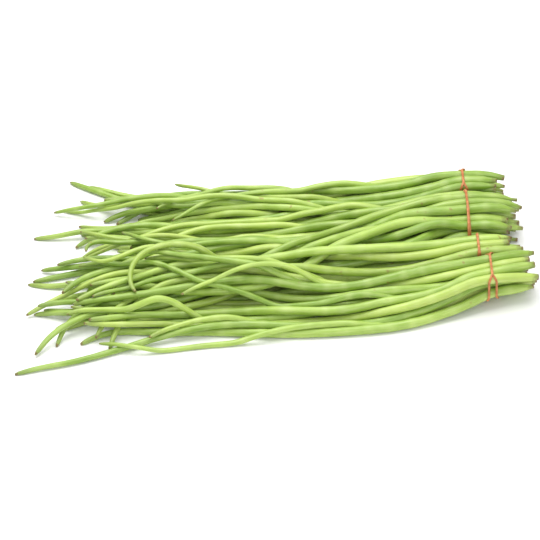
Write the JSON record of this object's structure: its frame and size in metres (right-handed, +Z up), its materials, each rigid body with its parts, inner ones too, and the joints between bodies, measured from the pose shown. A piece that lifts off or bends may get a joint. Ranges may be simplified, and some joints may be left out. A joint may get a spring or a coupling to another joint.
{
  "type": "yardlong bean bunch",
  "caption": "Bunch of fresh yardlong beans: long thin green pods in rubber-banded bundles lying side by side, stems together and tips fanned out.",
  "frame": {"origin": "middle of the heap's underside, on the surface that it lies on", "axes": "+X along the pods towards their stem ends, +Z up, -Y towards the front bundle"},
  "size_m": [0.5124, 0.31, 0.0526],
  "materials": {
    "pod": "satin",
    "rubber_band": "satin"
  },
  "bodies": {
    "root": {"back_pod_01": "pod", "back_pod_02": "pod", "back_pod_03": "pod", "back_pod_04": "pod", "back_pod_05": "pod", "back_pod_06": "pod", "back_pod_07": "pod", "back_pod_08": "pod", "back_pod_09": "pod", "back_pod_10": "pod", "large_pod_01": "pod", "large_pod_02": "pod", "large_pod_03": "pod", "large_pod_04": "pod", "large_pod_05": "pod", "large_pod_06": "pod", "large_pod_07": "pod", "large_pod_08": "pod", "large_pod_09": "pod", "large_pod_10": "pod", "large_pod_11": "pod", "large_pod_12": "pod", "large_pod_13": "pod", "large_pod_14": "pod", "large_pod_15": "pod", "large_pod_16": "pod", "large_pod_17": "pod", "large_pod_18": "pod", "large_pod_19": "pod", "large_pod_20": "pod", "large_pod_21": "pod", "large_pod_22": "pod", "large_pod_23": "pod", "large_pod_24": "pod", "middle_pod_01": "pod", "middle_pod_02": "pod", "middle_pod_03": "pod", "middle_pod_04": "pod", "middle_pod_05": "pod", "middle_pod_06": "pod", "middle_pod_07": "pod", "middle_pod_08": "pod", "middle_pod_09": "pod", "middle_pod_10": "pod", "front_pod_01": "pod", "front_pod_02": "pod", "front_pod_03": "pod", "front_pod_04": "pod", "front_pod_05": "pod", "front_pod_06": "pod", "front_pod_07": "pod", "front_pod_08": "pod", "front_pod_09": "pod", "front_pod_10": "pod", "front_pod_11": "pod", "front_pod_12": "pod", "back_rubber_band": "rubber_band", "large_rubber_band": "rubber_band", "middle_rubber_band": "rubber_band", "front_rubber_band": "rubber_band"}
  },
  "joints": []
}
